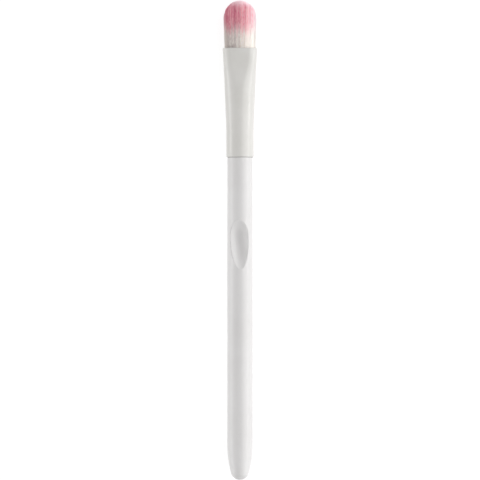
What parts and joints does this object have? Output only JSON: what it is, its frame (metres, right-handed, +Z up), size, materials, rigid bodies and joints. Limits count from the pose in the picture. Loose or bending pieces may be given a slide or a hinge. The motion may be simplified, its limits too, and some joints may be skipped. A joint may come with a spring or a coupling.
{
  "type": "eyeshadow brush",
  "caption": "Slim cosmetic brush: a round handle with a scooped thumb rest and bullet tail, a ferrule pressed flat at its mouth, and a rounded tuft of dipped bristles for eyeshadow.",
  "frame": {"origin": "bottom centre of the bounding box, on the surface that the brush lies on, halfway along its length", "axes": "+X along the brush from the tail of the handle to the bristle tip, +Z up, out of the thumb rest and the flat front of the ferrule, +Y across the brush"},
  "size_m": [0.16, 0.0116, 0.0092],
  "materials": {
    "handle_plastic": "satin",
    "ferrule_lacquer": "satin",
    "bristle": "satin",
    "epoxy": "gloss",
    "adhesive": "matte"
  },
  "bodies": {
    "root": {"handle": "handle_plastic", "ferrule": "ferrule_lacquer", "bristle_tuft": "bristle", "root_epoxy_plug": "epoxy", "tenon_adhesive": "adhesive"}
  },
  "joints": []
}
